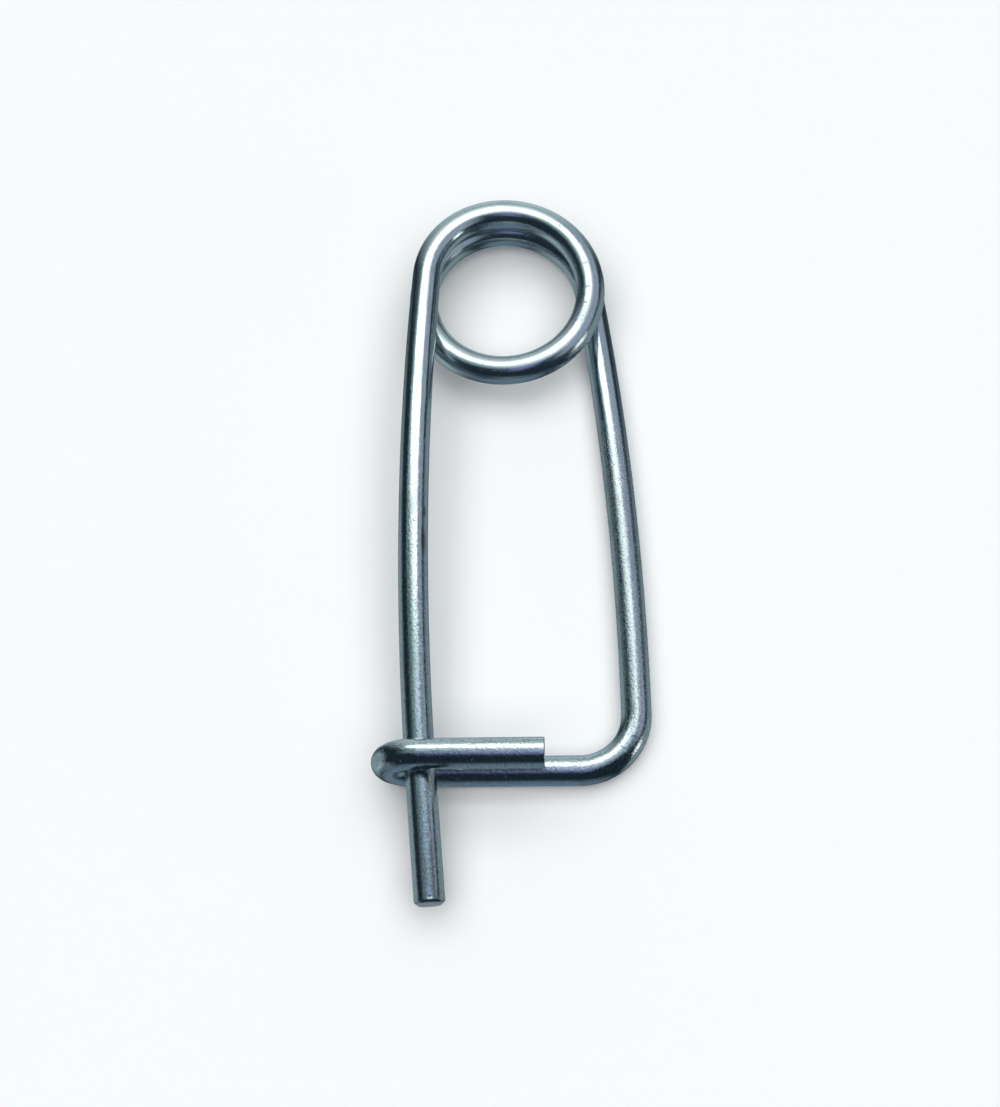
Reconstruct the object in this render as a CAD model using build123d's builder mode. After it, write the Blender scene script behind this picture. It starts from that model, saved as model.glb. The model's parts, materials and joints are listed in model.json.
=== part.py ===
"""Coiled tension safety pin that locks a hitch pin: one length of plated spring wire.

From its free end the wire runs up the pin leg, winds a coil of almost one and a half turns,
runs down the back leg, turns along the cross bar and ends in a hook that holds the pin leg.
The object lies on its back: X runs along the cross bar, Y up the legs to the coil and Z up
along the coil's axis. The real wire is unbroken. Here it is cut square where it changes shape
and, in the coil, where one stretch turns against the next when the legs are squeezed.
Headings are degrees clockwise from +Y, seen from above, and slopes are degrees above level.
"""

import os
from math import atan, cos, degrees, pi, radians, sin, tan

from build123d import *

# Wire
wire_d = 4.76  # 3/16 in
wire_r = wire_d / 2
slack = 0.35  # gap between the closed pin leg and the wire that holds it

# Coil, counted up and anticlockwise from its rear end
coil_r = 14.1  # to the middle of the wire
coil_pitch = 5.8
coil_rear_angle = 28.7  # from +X
coil_turn = 437.0
coil_names = ["coil_rear_arc", "coil_lower_arc", "coil_front_arc"]

# Back leg, cross bar and hook
back_bend_r = 14.1
back_bend_turn = 20.0
back_leg_bow_r = 535.0
back_leg_length = 75.0
corner_r = 9.0
hook_r = wire_d + slack  # the hook's two sides just clear the pin leg between them
return_end_x = 5.8  # cut end of the hook, right of the coil's axis

# Pin leg
pin_bend_r = 13.0
pin_bend_turn = 70.0
pin_bend_slope = 1.0  # the leg still rises where it leaves its bend
pin_leg_bow_r = 570.0
pin_leg_length = 87.5
latch_along_leg = 83.87  # from the pin bend to the cross bar
pin_tip_length = 18.1
tip_chamfer = 0.6


def direction(heading, slope=0.0):
    """Unit vector for a heading and a slope."""
    level = cos(radians(slope))
    return Vector(
        sin(radians(heading)) * level,
        cos(radians(heading)) * level,
        sin(radians(slope)),
    )


def bend_end(start, before, after, radius):
    """End of the circular bend that turns one direction into another."""
    turn = radians(before.get_angle(after))
    return start + (before + after) * (radius * tan(turn / 2))


def add_wire(line):
    """Fill the open part with wire along a line, cut square at both ends."""
    with BuildSketch(Plane(origin=line @ 0, z_dir=line % 0)) as section:
        Circle(wire_r)
    sweep(section.sketch, path=line, is_frenet=True)


# Route of the back half, from the coil's rear end to the hook's cut end
coil_slope = degrees(atan(coil_pitch / (2 * pi * coil_r)))
coil_rear = Vector(
    coil_r * cos(radians(coil_rear_angle)), coil_r * sin(radians(coil_rear_angle)), 0
)
rear_heading = 180 - coil_rear_angle
back_bend_start_dir = direction(rear_heading, -coil_slope)
back_leg_dir = direction(rear_heading + back_bend_turn)
back_bend_stop = bend_end(coil_rear, back_bend_start_dir, back_leg_dir, back_bend_r)
coil_rear_height = wire_r - back_bend_stop.Z  # the back leg lies on the ground
coil_rear += (0, 0, coil_rear_height)
back_bend_stop += (0, 0, coil_rear_height)
corner_heading = rear_heading + back_bend_turn + degrees(back_leg_length / back_leg_bow_r)
corner_start = bend_end(
    back_bend_stop, back_leg_dir, direction(corner_heading), back_leg_bow_r
)
bar_dir = Vector(-1, 0, 0)
corner_stop = bend_end(corner_start, direction(corner_heading), bar_dir, corner_r)

# Route of the front half, from the coil's front end to the tip
coil_front_angle = coil_rear_angle + coil_turn
coil_front = Vector(
    coil_r * cos(radians(coil_front_angle)),
    coil_r * sin(radians(coil_front_angle)),
    coil_rear_height + coil_pitch * coil_turn / 360,
)
leg_heading = -coil_front_angle - pin_bend_turn
leg_dir = direction(leg_heading, pin_bend_slope)
pin_bend_stop = bend_end(
    coil_front, direction(-coil_front_angle, coil_slope), leg_dir, pin_bend_r
)
# The leg falls evenly from its bend, so that it meets the cross bar at the hook's middle height.
latch_height = wire_r + hook_r
latch_rise = pin_bend_stop.Z + latch_along_leg * radians(pin_bend_slope) - latch_height
tip_slope = pin_bend_slope - degrees(2 * latch_rise * pin_leg_length / latch_along_leg**2)
tip_dir = direction(leg_heading - degrees(pin_leg_length / pin_leg_bow_r), tip_slope)
leg_bow_r = pin_leg_length / radians(leg_dir.get_angle(tip_dir))
tip_start = bend_end(pin_bend_stop, leg_dir, tip_dir, leg_bow_r)
tip_stop = tip_start + tip_dir * pin_tip_length

# The hook goes round the pin leg where the leg crosses the bar.
above_bar = (corner_stop.Y - tip_start.Y) / tip_dir.Y
hook_start = Vector(tip_start.X + tip_dir.X * above_bar, corner_stop.Y, wire_r)
hook_stop = hook_start + (0, 0, 2 * hook_r)

# Coil, in equal arcs
pieces = {}
arc_turn = coil_turn / len(coil_names)
for number, name in enumerate(coil_names):
    arc_height = coil_pitch * arc_turn / 360
    arc_start = Location(
        (0, 0, coil_rear_height + number * arc_height),
        (0, 0, coil_rear_angle + number * arc_turn),
    )
    with BuildPart() as coil_arc:
        with BuildLine() as path:
            Helix(coil_pitch, arc_height, coil_r)
        add_wire(path.line.moved(arc_start))
    pieces[name] = coil_arc

with BuildPart() as back_bend:
    with BuildLine() as path:
        TangentArc(coil_rear, back_bend_stop, tangent=back_bend_start_dir)
    add_wire(path.line)
pieces["back_bend"] = back_bend

with BuildPart() as back_leg:
    with BuildLine() as path:
        TangentArc(back_bend_stop, corner_start, tangent=back_leg_dir)
    add_wire(path.line)
pieces["back_leg"] = back_leg

with BuildPart() as corner_bend:
    with BuildLine() as path:
        TangentArc(corner_start, corner_stop, tangent=direction(corner_heading))
    add_wire(path.line)
pieces["corner_bend"] = corner_bend

with BuildPart() as cross_bar:
    with BuildLine() as path:
        Line(corner_stop, hook_start)
    add_wire(path.line)
pieces["cross_bar"] = cross_bar

with BuildPart() as hook_bend:
    with BuildLine() as path:
        ThreePointArc(hook_start, (hook_start + hook_stop) / 2 + bar_dir * hook_r, hook_stop)
    add_wire(path.line)
pieces["hook_bend"] = hook_bend

with BuildPart() as hook_return:
    with BuildLine() as path:
        Line(hook_stop, (return_end_x, hook_stop.Y, hook_stop.Z))
    add_wire(path.line)
pieces["hook_return"] = hook_return

with BuildPart() as pin_bend:
    with BuildLine() as path:
        TangentArc(coil_front, pin_bend_stop, tangent=direction(-coil_front_angle, coil_slope))
    add_wire(path.line)
pieces["pin_bend"] = pin_bend

with BuildPart() as pin_leg:
    with BuildLine() as path:
        TangentArc(pin_bend_stop, tip_start, tangent=leg_dir)
    add_wire(path.line)
pieces["pin_leg"] = pin_leg

with BuildPart() as pin_tip:
    with BuildLine() as path:
        Line(tip_start, tip_stop)
    add_wire(path.line)
    chamfer(pin_tip.faces().sort_by(Axis.Y)[0].edges(), tip_chamfer)
pieces["pin_tip"] = pin_tip

# The origin is on the ground, under the middle of the whole object.
boxes = [piece.part.bounding_box() for piece in pieces.values()]
middle_x = (min(box.min.X for box in boxes) + max(box.max.X for box in boxes)) / 2
middle_y = (min(box.min.Y for box in boxes) + max(box.max.Y for box in boxes)) / 2
to_origin = Location((-middle_x, -middle_y, 0))

os.makedirs("parts", exist_ok=True)
for name, piece in pieces.items():
    placed = piece.part.moved(to_origin)
    placed.label = name
    export_step(placed, f"parts/{name}.step")
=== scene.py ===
"""Looks of the coiled tension safety pin: one bright zinc plated spring wire on a pale floor."""

import json
from math import atan, atan2, cos, pi, radians, sin, sqrt, tan

import bmesh
import bpy
import numpy as np
from mathutils import Matrix, Vector


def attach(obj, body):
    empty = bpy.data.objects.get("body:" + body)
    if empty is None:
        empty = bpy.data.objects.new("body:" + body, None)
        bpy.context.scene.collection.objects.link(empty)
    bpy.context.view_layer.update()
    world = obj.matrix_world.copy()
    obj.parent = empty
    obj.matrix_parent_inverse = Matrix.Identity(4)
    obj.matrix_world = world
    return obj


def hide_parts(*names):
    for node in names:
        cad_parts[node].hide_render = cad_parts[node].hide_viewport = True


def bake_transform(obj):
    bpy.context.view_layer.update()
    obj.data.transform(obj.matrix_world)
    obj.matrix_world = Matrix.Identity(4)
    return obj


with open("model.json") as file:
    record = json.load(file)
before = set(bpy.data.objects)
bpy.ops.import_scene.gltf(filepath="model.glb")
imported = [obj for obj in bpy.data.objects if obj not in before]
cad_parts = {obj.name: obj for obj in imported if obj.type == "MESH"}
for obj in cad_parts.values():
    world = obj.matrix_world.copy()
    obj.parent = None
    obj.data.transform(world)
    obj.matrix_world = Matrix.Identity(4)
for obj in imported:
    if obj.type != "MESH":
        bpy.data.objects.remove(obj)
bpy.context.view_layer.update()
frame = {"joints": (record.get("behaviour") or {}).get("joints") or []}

MM = 0.001
WIRE_R = 2.38 * MM


# ---------------------------------------------------------------- the wire's route

def joint_point(name):
    """A joint's own point, from the frame."""
    joint = next(j for j in frame["joints"] if j["name"] == name)
    return Vector(joint["pos_m"])


COIL_AXIS = joint_point("leg_squeeze")
COIL_R = 14.1 * MM
COIL_PITCH = 5.8 * MM
COIL_REAR = radians(28.7)
COIL_TURN = radians(437.0)
COIL_SLOPE = atan(COIL_PITCH / (2 * pi * COIL_R))

# Back half, from the coil's rear end to the hook's cut end
BACK_BEND_R = 14.1 * MM
BACK_BEND_TURN = radians(20.0)
BACK_LEG_BOW_R = 535.0 * MM
BACK_LEG_LENGTH = 75.0 * MM
CORNER_R = 9.0 * MM
HOOK_R = 5.11 * MM
RETURN_END_X = 5.8 * MM

# Front half, from the coil's front end to the tip
PIN_BEND_R = 13.0 * MM
PIN_BEND_TURN = radians(70.0)
PIN_BEND_SLOPE = radians(1.0)
PIN_LEG_BOW_R = 570.0 * MM
PIN_LEG_LENGTH = 87.5 * MM
LATCH_ALONG_LEG = 83.87 * MM
PIN_TIP_LENGTH = 18.1 * MM
TIP_CHAMFER = 0.6 * MM


def heading_vector(heading, slope=0.0):
    """Unit vector for a heading clockwise from +Y and a slope above level, in radians."""
    return Vector((sin(heading) * cos(slope), cos(heading) * cos(slope), sin(slope)))


def bend_end(start, before, after, radius):
    """End of the circular bend that turns one direction into another."""
    return start + (before + after) * (radius * tan(before.angle(after) / 2))


# The back leg lies on the ground, and that sets the height of the coil's rear end.
axis = Vector((COIL_AXIS.x, COIL_AXIS.y, 0))
coil_rear = axis + Vector((cos(COIL_REAR), sin(COIL_REAR), 0)) * COIL_R
rear_heading = pi - COIL_REAR
back_bend_dir = heading_vector(rear_heading, -COIL_SLOPE)
back_leg_dir = heading_vector(rear_heading + BACK_BEND_TURN)
back_leg_start = bend_end(coil_rear, back_bend_dir, back_leg_dir, BACK_BEND_R)
rear_height = WIRE_R - back_leg_start.z
coil_rear.z += rear_height
back_leg_start.z += rear_height
corner_heading = rear_heading + BACK_BEND_TURN + BACK_LEG_LENGTH / BACK_LEG_BOW_R
corner_dir = heading_vector(corner_heading)
corner_start = bend_end(back_leg_start, back_leg_dir, corner_dir, BACK_LEG_BOW_R)
bar_dir = Vector((-1, 0, 0))
corner_stop = bend_end(corner_start, corner_dir, bar_dir, CORNER_R)

# The pin leg leaves the coil rising a little, and bows down through the hook to the tip.
coil_front_angle = COIL_REAR + COIL_TURN
coil_front = axis + Vector((cos(coil_front_angle), sin(coil_front_angle), 0)) * COIL_R
coil_front.z = rear_height + COIL_PITCH * COIL_TURN / (2 * pi)
pin_bend_dir = heading_vector(-coil_front_angle, COIL_SLOPE)
leg_heading = -coil_front_angle - PIN_BEND_TURN
leg_dir = heading_vector(leg_heading, PIN_BEND_SLOPE)
pin_leg_start = bend_end(coil_front, pin_bend_dir, leg_dir, PIN_BEND_R)
latch_height = WIRE_R + HOOK_R
latch_rise = pin_leg_start.z + LATCH_ALONG_LEG * PIN_BEND_SLOPE - latch_height
tip_slope = PIN_BEND_SLOPE - 2 * latch_rise * PIN_LEG_LENGTH / LATCH_ALONG_LEG**2
tip_dir = heading_vector(leg_heading - PIN_LEG_LENGTH / PIN_LEG_BOW_R, tip_slope)
leg_bow_r = PIN_LEG_LENGTH / leg_dir.angle(tip_dir)
tip_start = bend_end(pin_leg_start, leg_dir, tip_dir, leg_bow_r)
tip_stop = tip_start + tip_dir * PIN_TIP_LENGTH

# The hook turns up and back from where the pin crosses over the bar.
to_crossing = (corner_stop.y - tip_start.y) / tip_dir.y
hook_start = Vector((tip_start.x + tip_dir.x * to_crossing, corner_stop.y, WIRE_R))
hook_stop = hook_start + Vector((0, 0, 2 * HOOK_R))
return_stop = Vector((axis.x + RETURN_END_X, hook_stop.y, hook_stop.z))


def straight(start, stop, step):
    """Points from start up to, but not at, stop."""
    count = max(2, round((stop - start).length / step))
    return [start.lerp(stop, i / count) for i in range(count)]


def bend(start, tangent, stop, step):
    """Points round the arc that leaves start along tangent, up to, but not at, stop."""
    chord = stop - start
    side = chord - tangent * chord.dot(tangent)
    side.normalize()
    radius = chord.length_squared / (2 * chord.dot(side))
    turn = 2 * tangent.angle(chord)
    count = max(4, round(radius * turn / step))
    points = []
    for i in range(count):
        angle = turn * i / count
        points.append(start + tangent * (radius * sin(angle)) + side * (radius * (1 - cos(angle))))
    return points


def coil(step):
    """Points down the coil, from its front end up to, but not at, its rear end."""
    count = round(COIL_R * COIL_TURN / step)
    points = []
    for i in range(count):
        left = COIL_TURN * (1 - i / count)
        angle = COIL_REAR + left
        height = rear_height + COIL_PITCH * left / (2 * pi)
        points.append(axis + Vector((COIL_R * cos(angle), COIL_R * sin(angle), height)))
    return points


# ---------------------------------------------------------------- the wire's mesh

RINGS_APART = 0.4 * MM
SIDES = 72
CUT_EDGE_R = 0.18 * MM  # how far the shearing rounded the hook's cut end
TIP_EDGE_R = 0.10 * MM
FACE_RINGS = (0.2, 0.4, 0.6, 0.8)  # rings across an end face, as shares of its radius
RIM_RING = 0.92  # the ring next to the end face's edge
PAST_EDGE = 4  # the end profile goes this many edge radii down the wire


class Wire:
    """The whole wire's middle line, from the tip to the hook's cut end.

    Each of its points has a tangent and a side direction that don't twist along the wire.
    """

    def __init__(self, step):
        pin_arm = straight(tip_stop, tip_start, step)
        pin_arm += bend(tip_start, -tip_dir, pin_leg_start, step)
        pin_arm += bend(pin_leg_start, -leg_dir, coil_front, step)
        turns = coil(step)
        latch = bend(coil_rear, back_bend_dir, back_leg_start, step)
        latch += bend(back_leg_start, back_leg_dir, corner_start, step)
        latch += bend(corner_start, corner_dir, corner_stop, step)
        latch += straight(corner_stop, hook_start, step)
        latch += bend(hook_start, bar_dir, hook_stop, step)
        latch += straight(hook_stop, return_stop, step)
        latch.append(return_stop)
        self.points = np.array([tuple(p) for p in pin_arm + turns + latch])
        self.coil_first = len(pin_arm)
        self.coil_last = len(pin_arm) + len(turns)
        self.last = len(self.points) - 1
        steps = np.diff(self.points, axis=0)
        self.along = np.concatenate([[0], np.cumsum(np.linalg.norm(steps, axis=1))])
        self.tangents = np.gradient(self.points, self.along, axis=0)
        self.tangents /= np.linalg.norm(self.tangents, axis=1)[:, None]
        side = np.cross(self.tangents[0], (0, 0, 1))
        sides = []
        for tangent in self.tangents:
            side = side - tangent * (side @ tangent)
            side /= np.linalg.norm(side)
            sides.append(side)
        self.sides = np.array(sides)
        self.ups = np.cross(self.sides, self.tangents)
        self.angles = np.linspace(0, 2 * pi, SIDES, endpoint=False)

    def outward(self, index):
        """Directions straight out of the wire, round one ring."""
        turn = self.angles[:, None]
        return self.sides[index] * np.cos(turn) + self.ups[index] * np.sin(turn)

    def ring(self, index, shift, radius):
        """The points of one ring, and their places round and along the wire."""
        centre = self.points[index] + self.tangents[index] * shift
        along = np.full(SIDES, self.along[index] + shift)
        flat = (np.cos(self.angles) * radius, np.sin(self.angles) * radius, along)
        return centre + self.outward(index) * radius, np.stack(flat, axis=1)


def rounded(corners, radius):
    """A line through 2-D corners, each inner one rounded."""
    corners = [Vector((x, 0, y)) for x, y in corners]
    points = [corners[0]]
    for before, corner, after in zip(corners, corners[1:], corners[2:]):
        arriving = (corner - before).normalized()
        leaving = (after - corner).normalized()
        back = radius * tan(arriving.angle(leaving) / 2)
        stop = corner + leaving * back
        points += bend(corner - arriving * back, arriving, stop, radius / 5)
        points.append(stop)
    return [(p.x, p.z) for p in points]


def end_face(chamfer, edge):
    """(depth from the end, radius) pairs across an end face and over its edge."""
    face_r = WIRE_R - chamfer
    corners = [(0, face_r * RIM_RING), (0, face_r)]
    if chamfer:
        corners.append((chamfer, WIRE_R))
    corners.append((chamfer + PAST_EDGE * edge, WIRE_R))
    inner = [(0, face_r * share) for share in FACE_RINGS]
    return inner + rounded(corners, edge)


def ring_list(wire, first, last, first_end, last_end):
    """(point on the wire, shift along it, radius) for each ring from first to last."""
    rings = []
    skip = -1
    stop = wire.along[last] + 1
    if first_end:
        rings += [(first, depth, radius) for depth, radius in first_end]
        skip = first_end[-1][0]
    if last_end:
        stop = wire.along[last] - last_end[-1][0]
    for i in range(first, last + 1):
        if wire.along[i] - wire.along[first] > skip and wire.along[i] < stop:
            rings.append((i, 0.0, WIRE_R))
    if last_end:
        rings += [(last, -depth, radius) for depth, radius in last_end[::-1]]
    return rings


def tube_faces(count):
    """Faces of a tube of rings. The middles of its two ends are its last two points."""
    faces = []
    for ring in range(count - 1):
        for k in range(SIDES):
            a = ring * SIDES + k
            b = ring * SIDES + (k + 1) % SIDES
            faces.append((a, a + SIDES, b + SIDES, b))
    base = (count - 1) * SIDES
    start_middle = count * SIDES
    for k in range(SIDES):
        after = (k + 1) % SIDES
        faces.append((start_middle, k, after))
        faces.append((start_middle + 1, base + after, base + k))
    return faces


def wire_piece(name, wire, first, last, first_end=None, last_end=None):
    """A closed tube along part of the wire. An end with no profile meets the next piece."""
    rings = ring_list(wire, first, last, first_end, last_end)
    points, places = [], []
    for index, shift, radius in rings:
        ring_points, ring_places = wire.ring(index, shift, radius)
        points.append(ring_points)
        places.append(ring_places)
    for index, shift in (rings[0][:2], rings[-1][:2]):
        points.append([wire.points[index]])
        places.append([(0, 0, wire.along[index] + shift)])
    points = np.concatenate(points)
    places = np.concatenate(places)
    mesh = bpy.data.meshes.new(name)
    mesh.from_pydata(points.tolist(), [], tube_faces(len(rings)))
    mesh.validate()
    mesh.shade_smooth()
    layer = mesh.attributes.new("wire_place", "FLOAT_VECTOR", "POINT")
    layer.data.foreach_set("vector", places.astype(np.float32).ravel())
    # Where two pieces meet, both are shaded as one wire. A zero normal is worked out as usual.
    normals = np.zeros((len(points), 3))
    if not first_end:
        normals[:SIDES] = wire.outward(first)
    if not last_end:
        normals[(len(rings) - 1) * SIDES:len(rings) * SIDES] = wire.outward(last)
    mesh.normals_split_custom_set_from_vertices(normals.tolist())
    piece = bpy.data.objects.new(name, mesh)
    bpy.context.scene.collection.objects.link(piece)
    return piece


wire = Wire(RINGS_APART)
tip_face = end_face(TIP_CHAMFER, TIP_EDGE_R)
cut_face = end_face(0.0, CUT_EDGE_R)
pin_arm_wire = wire_piece("pin_arm_wire", wire, 0, wire.coil_first, first_end=tip_face)
coil_wire = wire_piece("coil_wire", wire, wire.coil_first, wire.coil_last)
latch_frame_wire = wire_piece(
    "latch_frame_wire", wire, wire.coil_last, wire.last, last_end=cut_face
)


# ---------------------------------------------------------------- riding on the frame

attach(pin_arm_wire, "pin_arm")
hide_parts("pin_tip", "pin_leg", "pin_bend")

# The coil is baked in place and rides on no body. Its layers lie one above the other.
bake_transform(coil_wire)
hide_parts("coil_front_arc", "coil_lower_arc", "coil_rear_arc")

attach(latch_frame_wire, "latch_frame")
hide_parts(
    "back_bend", "back_leg", "corner_bend", "cross_bar", "hook_bend", "hook_return",
)


# ---------------------------------------------------------------- shader nodes

class Nodes:
    """Short ways to add shader nodes to a material or to the world."""

    def __init__(self, tree):
        self.tree = tree

    def add(self, kind, **settings):
        node = self.tree.nodes.new(kind)
        for name, value in settings.items():
            setattr(node, name, value)
        return node

    def set(self, socket, value):
        """Link a node output to a socket, or set the socket to a value."""
        if isinstance(value, bpy.types.NodeSocket):
            self.tree.links.new(value, socket)
        else:
            socket.default_value = value

    def math(self, operation, *values):
        node = self.add("ShaderNodeMath", operation=operation)
        for socket, value in zip(node.inputs, values):
            self.set(socket, value)
        return node.outputs[0]

    def vector(self, operation, *values):
        node = self.add("ShaderNodeVectorMath", operation=operation)
        for socket, value in zip(node.inputs, values):
            self.set(socket, value)
        return node

    def parts(self, vector):
        """The X, Y and Z of a vector."""
        node = self.add("ShaderNodeSeparateXYZ")
        self.set(node.inputs[0], vector)
        return node.outputs["X"], node.outputs["Y"], node.outputs["Z"]

    def stretched(self, place, around, along):
        """The place on the wire in units of a pattern's size around and along the wire."""
        sizes = (around * MM, around * MM, along * MM)
        return self.vector("DIVIDE", place, sizes).outputs["Vector"]

    def noise(self, place, around, along, detail=2.0, roughness=0.5):
        """Smooth noise from about 0.25 to 0.75, with a size in millimetres each way."""
        node = self.add("ShaderNodeTexNoise")
        self.set(node.inputs["Vector"], self.stretched(place, around, along))
        node.inputs["Scale"].default_value = 1.0
        node.inputs["Detail"].default_value = detail
        node.inputs["Roughness"].default_value = roughness
        return node.outputs["Fac"]

    def spots(self, place, around, along, reach):
        """1 in the middle of scattered spots and 0 between them."""
        node = self.add("ShaderNodeTexVoronoi", feature="F1")
        self.set(node.inputs["Vector"], self.stretched(place, around, along))
        node.inputs["Scale"].default_value = 1.0
        node.inputs["Randomness"].default_value = 1.0
        return self.ramp(node.outputs["Distance"], reach, reach / 2)

    def ramp(self, value, nothing, everything, low=0.0, high=1.0):
        """Go smoothly from one number to another as a value goes between two limits."""
        node = self.add("ShaderNodeMapRange", interpolation_type="SMOOTHSTEP")
        self.set(node.inputs["Value"], value)
        self.set(node.inputs["From Min"], nothing)
        self.set(node.inputs["From Max"], everything)
        self.set(node.inputs["To Min"], low)
        self.set(node.inputs["To Max"], high)
        return node.outputs["Result"]

    def stretch(self, along, start, full_start, full_stop, stop):
        """1 on a stretch of the wire and 0 away from it, by places along it."""
        rise = self.ramp(along, start, full_start)
        fall = self.ramp(along, stop, full_stop)
        return self.math("MULTIPLY", rise, fall)

    def patch(self, place, middle, half_lengths, turn, even):
        """1 on the even inner share of an elliptical patch, and softly 0 outside it."""
        node = self.add("ShaderNodeMapping", vector_type="TEXTURE")
        self.set(node.inputs["Vector"], place)
        node.inputs["Location"].default_value = middle
        node.inputs["Rotation"].default_value = (0, 0, turn)
        node.inputs["Scale"].default_value = half_lengths
        reach = self.vector("LENGTH", node.outputs["Vector"]).outputs["Value"]
        return self.ramp(reach, 1.0, even)

    def mark(self, place, around, along, half_around, half_along):
        """A soft patch on the wire: degrees round it, and the rest in millimetres."""
        angle = radians(around)
        middle = (WIRE_R * cos(angle), WIRE_R * sin(angle), along * MM)
        half_lengths = (half_around * MM, half_around * MM, half_along * MM)
        return self.patch(place, middle, half_lengths, 0, MARK_EVEN)

    def mixed(self, share, first, second, blend_type="MIX"):
        """A colour between two others, or one colour with a share of another added."""
        node = self.add("ShaderNodeMix", data_type="RGBA", blend_type=blend_type)
        first_colour, second_colour = 6, 7
        self.set(node.inputs["Factor"], share)
        self.set(node.inputs[first_colour], first)
        self.set(node.inputs[second_colour], second)
        return node.outputs[2]

    def bump(self, height, depth, below=None):
        """A surface raised by a height from 0 to 1, times a depth in millimetres."""
        node = self.add("ShaderNodeBump")
        node.inputs["Strength"].default_value = 1.0
        node.inputs["Distance"].default_value = depth * MM
        self.set(node.inputs["Height"], height)
        if below is not None:
            self.set(node.inputs["Normal"], below)
        return node.outputs["Normal"]


# ---------------------------------------------------------------- camera, floor and light

CAMERA_TARGET = Vector((-2.08, -1.77, 2.38)) * MM
CAMERA_BACKWARD = Vector((0.0324, -0.3747, 0.9266)).normalized()
CAMERA_DISTANCE = 320.0 * MM
CAMERA_LENS = 64.2
CAMERA_SENSOR = 36.0

# Half sizes in metres
FLOOR_HALF = 3.0
CANOPY_HALF = 0.9
CARD_HALF = 0.4
BACKDROP_R = 2.9

PALE_FLOOR = (0.9, 0.9, 0.9, 1)
PALE_BACKDROP = (0.93, 0.94, 0.95, 1)

# Soft patches of light: middle across and up, half lengths across and up, turn in degrees,
# the share of the patch that is even, and its colour.
# In the room they are far away, and the lengths are degrees of lean from straight up.
ROOM_BASE = (0.016, 0.028, 0.040)
ROOM_PATCHES = [
    (0, 72, 84, 58, 0, 0.30, (0.42, 0.51, 0.51)),
    (0, 134, 150, 66, 0, 0.40, (0.34, 0.42, 0.45)),
    (0, -142, 150, 62, 0, 0.40, (0.15, 0.21, 0.27)),
    (-122, 0, 46, 120, 0, 0.50, (0.28, 0.36, 0.38)),
    (118, 0, 46, 120, 0, 0.50, (0.25, 0.32, 0.34)),
    (-92, -72, 62, 34, -45, 0.30, (0.16, 0.20, 0.22)),
    (6, 2, 66, 20, 0, 0.40, (0.20, 0.26, 0.28)),
]
# On the canopy, above the pin, the lengths are millimetres.
CANOPY_HEIGHT = 250
CANOPY_PATCHES = [
    (0, 152, 200, 108, -12, 0.72, (1.85, 1.85, 1.85)),
    (50, 30, 140, 72, 0, 0.25, (0.62, 0.70, 0.77)),
    (-80, 30, 115, 95, 0, 0.10, (0.08, 0.19, 0.14)),
    (12, -90, 70, 130, 0, 0.10, (0.24, 0.26, 0.52)),
    (190, 130, 140, 150, 0, 0.20, (0.40, 0.48, 0.56)),
    (-190, 160, 150, 140, 0, 0.20, (0.26, 0.42, 0.42)),
    (-10, 330, 220, 150, 0, 0.20, (0.55, 0.65, 0.65)),
]
# A grey card, nearer to the pin and to its right, hides part of the canopy.
CARD_HEIGHT = 80
CARD_PATCH = (118, 85, 100, 145, -4, 0.80)
CARD_COLOUR = (0.38, 0.45, 0.56)


def add_camera():
    """The camera looks down from the tip's side, and its up is along the pin."""
    right = Vector((0, 1, 0)).cross(CAMERA_BACKWARD).normalized()
    up = CAMERA_BACKWARD.cross(right)
    turned = Matrix((right, up, CAMERA_BACKWARD)).transposed()
    data = bpy.data.cameras.new("camera")
    data.lens = CAMERA_LENS
    data.sensor_width = CAMERA_SENSOR
    data.clip_start = 0.01
    camera = bpy.data.objects.new("camera", data)
    camera.rotation_mode = "QUATERNION"
    camera.rotation_quaternion = turned.to_quaternion()
    camera.location = CAMERA_TARGET + CAMERA_BACKWARD * CAMERA_DISTANCE
    bpy.context.scene.collection.objects.link(camera)
    bpy.context.scene.camera = camera


def add_sheet(name, half_size):
    """A level square sheet on the ground, which is part of the studio."""
    corners = [(-1, -1), (1, -1), (1, 1), (-1, 1)]
    mesh = bpy.data.meshes.new(name)
    mesh.from_pydata([(half_size * x, half_size * y, 0) for x, y in corners], [], [range(4)])
    sheet = bpy.data.objects.new(name, mesh)
    bpy.context.scene.collection.objects.link(sheet)
    return sheet


def add_floor():
    """A wide pale floor. The wire mirrors the room in its place, so that its rims stay dark."""
    floor = add_sheet("floor", FLOOR_HALF)
    material = bpy.data.materials.new("pale_floor")
    material.use_nodes = True
    shader = material.node_tree.nodes["Principled BSDF"]
    shader.inputs["Base Color"].default_value = PALE_FLOOR
    shader.inputs["Roughness"].default_value = 0.9
    shader.inputs["Specular IOR Level"].default_value = 0.0
    floor.data.materials.append(material)
    floor.visible_glossy = False


def from_angles(right, back):
    """The direction that leans from straight up to the right and to the back, in degrees."""
    lean = radians(sqrt(right * right + back * back))
    turn = atan2(back, right)
    return Vector((sin(lean) * cos(turn), sin(lean) * sin(turn), cos(lean)))


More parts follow.
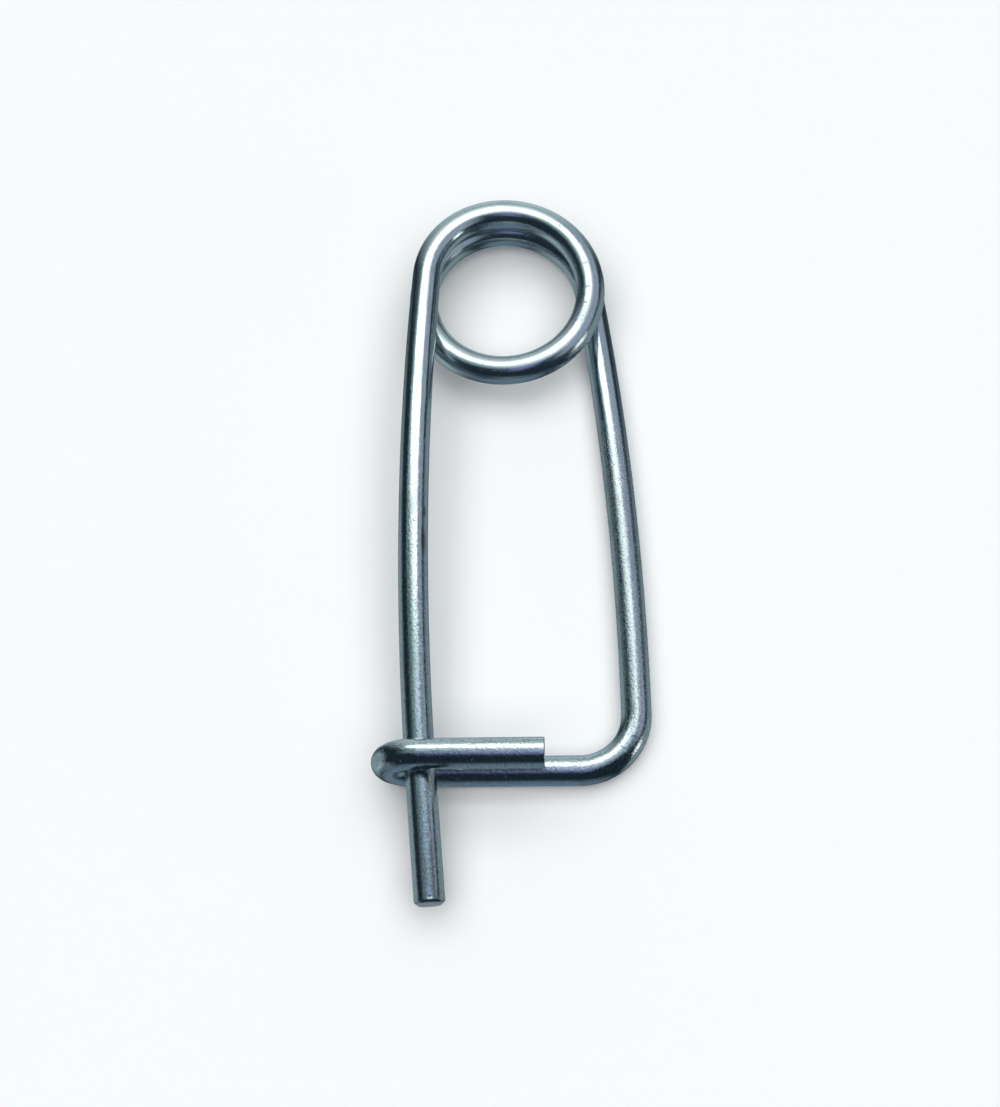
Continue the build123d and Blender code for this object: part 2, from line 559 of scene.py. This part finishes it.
def add_light(name, right, back, distance, size, radiance, mirrored=True):
    """A soft rectangular light that faces the pin, placed by how far it leans from overhead."""
    data = bpy.data.lights.new(name, "AREA")
    data.shape = "RECTANGLE"
    data.size, data.size_y = size
    data.energy = radiance * pi * size[0] * size[1]
    direction = from_angles(right, back)
    upward = direction.cross(Vector((1, 0, 0))).normalized()
    across = upward.cross(direction)
    turned = Matrix((across, upward, direction)).transposed()
    light = bpy.data.objects.new(name, data)
    light.location = direction * distance
    light.rotation_mode = "QUATERNION"
    light.rotation_quaternion = turned.to_quaternion()
    light.visible_glossy = mirrored
    bpy.context.scene.collection.objects.link(light)


def soft_patch(nodes, place, patch, unit):
    """A node output: how much of a soft patch of light there is at a place."""
    across, up, half_across, half_up, turn, even = patch
    middle = (across * unit, up * unit, 0)
    half_lengths = (half_across * unit, half_up * unit, 1)
    return nodes.patch(place, middle, half_lengths, radians(turn), even)


def patches_of_light(nodes, place, base, patches, unit):
    """A node output: the sum of a base colour and of soft patches of light."""
    total = (*base, 1)
    for *patch, colour in patches:
        share = soft_patch(nodes, place, patch, unit)
        total = nodes.mixed(share, total, (*colour, 1), blend_type="ADD")
    return total


def add_room():
    """The room round the pin: dark, with broad soft areas of light."""
    world = bpy.data.worlds.new("room")
    bpy.context.scene.world = world
    world.use_nodes = True
    nodes = Nodes(world.node_tree)
    direction = nodes.add("ShaderNodeTexCoord").outputs["Generated"]
    angle = nodes.math("ARCCOSINE", nodes.parts(direction)[2])
    flat = nodes.vector("MULTIPLY", direction, (1, 1, 0)).outputs["Vector"]
    towards = nodes.vector("NORMALIZE", flat).outputs["Vector"]
    lean = nodes.vector("SCALE", towards)
    nodes.set(lean.inputs["Scale"], angle)
    place = lean.outputs["Vector"]
    light = patches_of_light(nodes, place, ROOM_BASE, ROOM_PATCHES, radians(1))
    nodes.set(world.node_tree.nodes["Background"].inputs["Color"], light)


def glowing_material(name):
    """A material with an emission shader, still to be joined to its output."""
    material = bpy.data.materials.new(name)
    material.use_nodes = True
    tree = material.node_tree
    tree.nodes.remove(tree.nodes["Principled BSDF"])
    nodes = Nodes(tree)
    return material, nodes, nodes.add("ShaderNodeEmission"), tree.nodes["Material Output"]


def add_film(name, half_size, height):
    """A level sheet that only the metal mirrors, at a height in millimetres."""
    film = add_sheet(name, half_size)
    film.location.z = height * MM
    film.visible_camera = False
    film.visible_diffuse = False
    film.visible_shadow = False
    film.visible_transmission = False
    material, nodes, glow, output = glowing_material(name + "_film")
    film.data.materials.append(material)
    clear = nodes.add("ShaderNodeBsdfTransparent")
    place = nodes.add("ShaderNodeTexCoord").outputs["Object"]
    return nodes, place, glow.inputs["Color"], glow.outputs[0], clear.outputs[0], output


def add_canopy():
    """A light tent over the pin: soft patches of light on clear film."""
    nodes, place, colour, glow, clear, output = add_film("canopy", CANOPY_HALF, CANOPY_HEIGHT)
    nodes.set(colour, patches_of_light(nodes, place, (0, 0, 0), CANOPY_PATCHES, MM))
    both = nodes.add("ShaderNodeAddShader")
    nodes.set(both.inputs[0], glow)
    nodes.set(both.inputs[1], clear)
    nodes.set(output.inputs["Surface"], both.outputs[0])


def add_grey_card():
    """A soft-edged grey card between the pin and the canopy."""
    nodes, place, colour, glow, clear, output = add_film("grey_card", CARD_HALF, CARD_HEIGHT)
    nodes.set(colour, (*CARD_COLOUR, 1))
    either = nodes.add("ShaderNodeMixShader")
    nodes.set(either.inputs["Fac"], soft_patch(nodes, place, CARD_PATCH, MM))
    nodes.set(either.inputs[1], clear)
    nodes.set(either.inputs[2], glow)
    nodes.set(output.inputs["Surface"], either.outputs[0])


def add_backdrop():
    """A pale dome behind the floor, for the views from the side. It lights and mirrors nothing."""
    mesh = bpy.data.meshes.new("backdrop")
    shape = bmesh.new()
    bmesh.ops.create_uvsphere(shape, u_segments=64, v_segments=32, radius=BACKDROP_R)
    shape.to_mesh(mesh)
    shape.free()
    backdrop = bpy.data.objects.new("backdrop", mesh)
    bpy.context.scene.collection.objects.link(backdrop)
    backdrop.visible_diffuse = False
    backdrop.visible_glossy = False
    backdrop.visible_transmission = False
    backdrop.visible_shadow = False
    material, nodes, glow, output = glowing_material("pale_backdrop")
    nodes.set(glow.inputs["Color"], PALE_BACKDROP)
    nodes.set(output.inputs["Surface"], glow.outputs[0])
    mesh.materials.append(material)


add_camera()
add_floor()
add_room()
add_canopy()
add_grey_card()
add_backdrop()
add_light("side", right=80, back=-28, distance=0.8, size=(0.18, 0.36), radiance=1.7)
add_light("fill", right=0, back=0, distance=4.0, size=(7.0, 7.0), radiance=1.9, mirrored=False)


# ---------------------------------------------------------------- zinc plate

# Marks of use, by their place on the wire: degrees round it and millimetres along it from the
# tip, then half lengths in millimetres round it and along it. The last dent is on the tip's edge.
STAINS = [(42, 57.0, 0.8, 3.0), (38, 62.0, 0.5, 1.6), (173, 368.0, 0.9, 1.4), (150, 20.0, 0.7, 1.5)]
DENTS = [
    (62, 316.0, 0.70, 0.30),
    (70, 313.6, 0.50, 0.25),
    (64, 151.0, 0.60, 0.15),
    (68, 148.0, 0.90, 0.18),
    (75, 143.5, 0.80, 0.16),
    (83, 135.2, 0.40, 0.20),
    (82, 60.1, 0.30, 0.25),
    (3, 47.5, 0.35, 0.25),
    (86, 1.0, 0.70, 0.35),
]
MARK_EVEN = 0.2

# Places along the wire, from the tip: where the wear begins and where it is full, and where a
# stretch begins, is whole, fades and ends
TIP_WEAR = [place * MM for place in (95, 45)]
HOOK_WEAR = [place * MM for place in (235, 275)]
COIL_STRETCH = [place * MM for place in (112, 128, 225, 240)]
BACK_LEG_STRETCH = [place * MM for place in (245, 272, 300, 318)]

PLATE = (0.62, 0.68, 0.69, 1)
DULL_PLATE = (0.50, 0.54, 0.55, 1)
STREAK = (0.43, 0.48, 0.52, 1)
FLECK = (0.33, 0.36, 0.40, 1)
PIT = (0.34, 0.34, 0.35, 1)
STAIN = (0.26, 0.20, 0.17, 1)
SCRATCH = (0.78, 0.82, 0.83, 1)
CUT_STEEL = (0.60, 0.66, 0.70, 1)

# Roughness of the plate, and how much rougher it is in places
PLATE_ROUGHNESS = 0.13
COIL_ROUGHER = 0.07
BACK_LEG_ROUGHER = 0.12
DULL_ROUGHER = 0.05
GRAIN_ROUGHER = (-0.03, 0.05)
CUT_ROUGHER = 0.30
CUT_LESS_METALLIC = 0.30

# Depths in millimetres
RIPPLE_DEPTH = 0.030
DRAW_LINE_DEPTH = 0.004
GRAIN_DEPTH = 0.032
HOLLOW_DEPTH = 0.040
SCRATCH_DEPTH = 0.006


def zinc_plate():
    """Bright zinc plate: smooth on the upper pin leg, grainy and worn towards the latch."""
    material = bpy.data.materials.new("zinc_plate")
    material.use_nodes = True
    shader = material.node_tree.nodes["Principled BSDF"]
    nodes = Nodes(material.node_tree)
    place = nodes.add("ShaderNodeAttribute", attribute_name="wire_place").outputs["Vector"]
    x, y, along = nodes.parts(place)

    # The end faces lie nearer to the wire's middle line than its surface does.
    squares = nodes.math("ADD", nodes.math("POWER", x, 2.0), nodes.math("POWER", y, 2.0))
    from_middle = nodes.math("SQRT", squares)
    cut_end = nodes.ramp(from_middle, 0.90 * WIRE_R, 0.80 * WIRE_R)

    # The plate is worn least on the coil, and most on the lower legs and the latch.
    worn = nodes.math("MAXIMUM", nodes.ramp(along, *TIP_WEAR), nodes.ramp(along, *HOOK_WEAR))
    on_coil = nodes.stretch(along, *COIL_STRETCH)
    on_back_leg = nodes.stretch(along, *BACK_LEG_STRETCH)

    grain = nodes.noise(place, around=0.34, along=0.44, detail=2.0, roughness=0.7)
    draw_lines = nodes.noise(place, around=0.28, along=14.0, detail=2.0, roughness=0.6)
    ripple = nodes.noise(place, around=2.6, along=5.0, detail=1.0)
    blotch = nodes.noise(place, around=4.0, along=11.0, detail=4.0, roughness=0.62)
    mark_area = nodes.ramp(nodes.noise(place, around=9.0, along=16.0, detail=1.0), 0.48, 0.62)
    nicks = nodes.spots(place, around=1.5, along=0.75, reach=0.13)
    nicks = nodes.math("MULTIPLY", nicks, mark_area)
    pits = nodes.spots(place, around=0.55, along=0.7, reach=0.24)
    pits = nodes.math("MULTIPLY", pits, worn)
    scratches = nodes.spots(place, around=0.5, along=5.0, reach=0.16)

    dull = nodes.ramp(blotch, 0.50, 0.66)
    colour = nodes.mixed(dull, PLATE, DULL_PLATE)
    colour = nodes.mixed(nodes.ramp(draw_lines, 0.40, 0.64, high=0.40), colour, STREAK)
    fleck = nodes.ramp(grain, 0.56, 0.38)
    fleck = nodes.math("MULTIPLY", fleck, nodes.ramp(worn, 0.0, 1.0, low=0.12, high=0.48))
    colour = nodes.mixed(fleck, colour, FLECK)
    colour = nodes.mixed(pits, colour, PIT)
    patchy = nodes.ramp(grain, 0.35, 0.60, low=0.45, high=0.95)
    for stain in STAINS:
        share = nodes.math("MULTIPLY", nodes.mark(place, *stain), patchy)
        colour = nodes.mixed(share, colour, STAIN)
    colour = nodes.mixed(nodes.math("MULTIPLY", scratches, 0.5), colour, SCRATCH)
    colour = nodes.mixed(cut_end, colour, CUT_STEEL)
    nodes.set(shader.inputs["Base Color"], colour)

    roughness = nodes.math("MULTIPLY_ADD", on_coil, COIL_ROUGHER, PLATE_ROUGHNESS)
    roughness = nodes.math("MULTIPLY_ADD", on_back_leg, BACK_LEG_ROUGHER, roughness)
    roughness = nodes.math("MULTIPLY_ADD", dull, DULL_ROUGHER, roughness)
    roughness = nodes.math("ADD", roughness, nodes.ramp(grain, 0.35, 0.65, *GRAIN_ROUGHER))
    roughness = nodes.math("MULTIPLY_ADD", cut_end, CUT_ROUGHER, roughness)
    nodes.set(shader.inputs["Roughness"], roughness)
    metallic = nodes.math("MULTIPLY_ADD", cut_end, -CUT_LESS_METALLIC, 1.0)
    nodes.set(shader.inputs["Metallic"], metallic)

    grain_height = nodes.math("MULTIPLY", grain, nodes.ramp(worn, 0.0, 1.0, low=0.35))
    back_leg_grain = nodes.math("MULTIPLY_ADD", on_back_leg, 0.35, 1.0)
    grain_height = nodes.math("MULTIPLY", grain_height, back_leg_grain)
    hollow = nicks
    for dent in DENTS:
        hollow = nodes.math("MAXIMUM", hollow, nodes.mark(place, *dent))
    surface = nodes.bump(ripple, RIPPLE_DEPTH)
    surface = nodes.bump(draw_lines, DRAW_LINE_DEPTH, surface)
    surface = nodes.bump(grain_height, GRAIN_DEPTH, surface)
    surface = nodes.bump(nodes.math("SUBTRACT", 1.0, hollow), HOLLOW_DEPTH, surface)
    surface = nodes.bump(nodes.math("SUBTRACT", 1.0, scratches), SCRATCH_DEPTH, surface)
    nodes.set(shader.inputs["Normal"], surface)
    return material


metal = zinc_plate()
for piece in (pin_arm_wire, coil_wire, latch_frame_wire):
    piece.data.materials.append(metal)

bpy.context.scene.view_settings.view_transform = "Standard"
